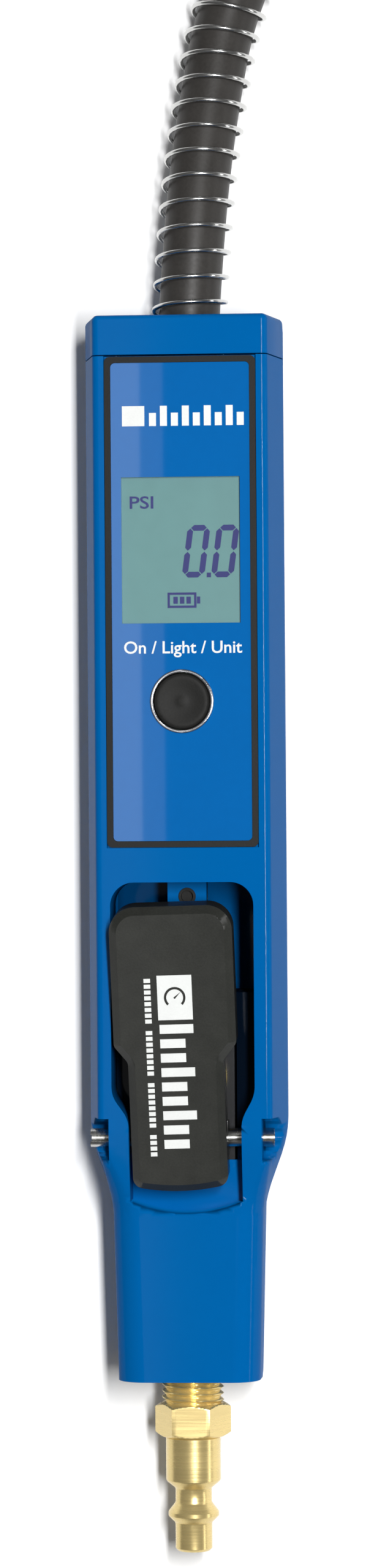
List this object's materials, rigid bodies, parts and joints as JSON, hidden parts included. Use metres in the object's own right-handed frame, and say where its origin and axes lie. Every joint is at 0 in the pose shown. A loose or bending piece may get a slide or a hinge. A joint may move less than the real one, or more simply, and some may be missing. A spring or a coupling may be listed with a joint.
{
  "type": "tyre inflator with digital gauge",
  "caption": "Hand-held tyre inflator with a digital pressure gauge: blue body, thumb lever over a valve, brass inlet plug, and a guarded air hose ending in a clip-on air chuck.",
  "frame": {"origin": "on the surface the tool lies on, below the middle of the tool without its hose", "axes": "+Z out of the display, +Y along the body from the inlet plug to the hose, +X to the right of the display"},
  "size_m": [0.1759, 0.3994, 0.0444],
  "materials": {
    "body_blue": "gloss blue",
    "blue_gloss": "gloss blue print under clear film",
    "black_rubber": "matt",
    "black_plastic": "fine texture",
    "clear": "clear window",
    "lcd": "grey-green display",
    "white_plastic": "diffuser",
    "board_green": "solder mask",
    "bright_ring": "polished",
    "steel": "plain",
    "spring_steel": "bright wire",
    "brass": "machined",
    "black_anodised": "black anodised",
    "battery_skin": "printed sleeve",
    "hose_rubber": "smooth",
    "zinc": "nickel plated"
  },
  "bodies": {
    "tool": {"front_housing": "body_blue", "rear_cover": "body_blue", "end_cap": "body_blue", "cap_blocks": "black_plastic", "cover_screws": "steel", "end_cap_screws": "steel", "display_gasket": "black_rubber", "display_label": "blue_gloss", "lcd_window": "clear", "lcd_panel": "lcd", "lcd_backlight": "white_plastic", "button_ring": "bright_ring", "circuit_board": "board_green", "board_posts": "black_plastic", "board_screws": "steel", "tact_switch": "black_plastic", "pressure_sensor": "black_plastic", "batteries": "battery_skin", "battery_tray": "black_plastic", "battery_contacts": "steel", "valve_block": "black_anodised", "valve_bonnet": "brass", "bonnet_seal": "black_rubber", "valve_spring": "spring_steel", "outlet_pipe": "black_anodised", "hose_tail": "brass", "hose_ferrule": "steel", "inlet_plug": "brass", "lever_pin": "steel", "hose": "hose_rubber", "hose_guard": "spring_steel", "chuck_ferrule": "steel", "chuck_body": "zinc", "chuck_seal": "black_rubber", "depressor_pin": "brass", "clip_pin": "steel", "clip_spring": "spring_steel"},
    "lever": {"lever": "black_plastic"},
    "valve_stem": {"valve_stem": "steel", "stem_seal": "black_rubber"},
    "button": {"button_cap": "black_rubber"},
    "chuck_clip": {"chuck_clip": "steel"}
  },
  "joints": [
    {"name": "lever_press", "type": "hinge", "parent": "tool", "child": "lever", "pos_m": [0, -0.0429, 0.0285], "axis": [-1, 0, 0], "range_deg": [0, 8], "stiffness_Nm_per_rad": 0.6, "springref_deg": -5.73},
    {"name": "stem_push", "type": "slide", "parent": "tool", "child": "valve_stem", "axis": [0, 0, -1], "range_m": [0, 0.00184], "deforming": ["valve_spring"]},
    {"name": "button_press", "type": "slide", "parent": "tool", "child": "button", "axis": [0, 0, -1], "range_m": [0, 0.0007], "stiffness_N_per_m": 600},
    {"name": "clip_open", "type": "hinge", "parent": "tool", "child": "chuck_clip", "pos_m": [0.1403, -0.066, 0.0171], "axis": [-1, 0, 0], "range_deg": [0, 12], "stiffness_Nm_per_rad": 0.2, "springref_deg": -5.73, "deforming": ["clip_spring"]}
  ],
  "couplings": [
    {"joint": "stem_push", "follows": "lever_press", "m_per_rad": 0.01315}
  ]
}
